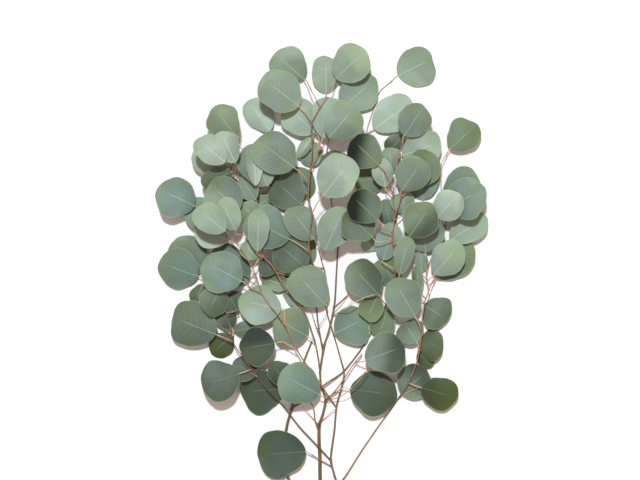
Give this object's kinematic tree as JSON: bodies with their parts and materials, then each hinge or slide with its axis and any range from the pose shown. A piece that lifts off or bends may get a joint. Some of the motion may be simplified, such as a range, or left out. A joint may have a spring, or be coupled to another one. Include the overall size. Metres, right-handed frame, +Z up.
{
  "type": "cut eucalyptus branch",
  "caption": "Cut branch of silver dollar eucalyptus with round grey-green leaves on thin forked twigs, lying flat on a surface.",
  "frame": {"origin": "centre of the branch's outline seen from above, on the surface that it lies on", "axes": "+Z up from the surface, +Y along the branch from its cut end towards its crown"},
  "size_m": [0.3812, 0.5477, 0.0518],
  "materials": {
    "main_stem": "smooth thin bark, matt",
    "low_leaf": "leaves with a matt waxy bloom, on red-brown twigs",
    "spray_centre": "leaves with a matt waxy bloom, on red-brown twigs",
    "spray_foot": "leaves with a matt waxy bloom, on red-brown twigs",
    "spray_inner": "leaves with a matt waxy bloom, on red-brown twigs",
    "spray_left": "leaves with a matt waxy bloom, on red-brown twigs",
    "spray_left_arm": "leaves with a matt waxy bloom, on red-brown twigs",
    "spray_low_centre": "leaves with a matt waxy bloom, on red-brown twigs",
    "spray_low_left": "leaves with a matt waxy bloom, on red-brown twigs",
    "spray_lower_left": "leaves with a matt waxy bloom, on red-brown twigs",
    "spray_lower_right": "leaves with a matt waxy bloom, on red-brown twigs",
    "spray_middle": "leaves with a matt waxy bloom, on red-brown twigs",
    "spray_outer_right": "leaves with a matt waxy bloom, on red-brown twigs",
    "spray_right": "leaves with a matt waxy bloom, on red-brown twigs",
    "spray_top": "leaves with a matt waxy bloom, on red-brown twigs",
    "spray_upper_left": "leaves with a matt waxy bloom, on red-brown twigs",
    "spray_upper_right": "leaves with a matt waxy bloom, on red-brown twigs"
  },
  "bodies": {
    "root": {"main_stem": "main_stem", "low_leaf": "low_leaf", "spray_centre": "spray_centre", "spray_foot": "spray_foot", "spray_inner": "spray_inner", "spray_left": "spray_left", "spray_left_arm": "spray_left_arm", "spray_low_centre": "spray_low_centre", "spray_low_left": "spray_low_left", "spray_lower_left": "spray_lower_left", "spray_lower_right": "spray_lower_right", "spray_middle": "spray_middle", "spray_outer_right": "spray_outer_right", "spray_right": "spray_right", "spray_top": "spray_top", "spray_upper_left": "spray_upper_left", "spray_upper_right": "spray_upper_right"}
  },
  "joints": []
}
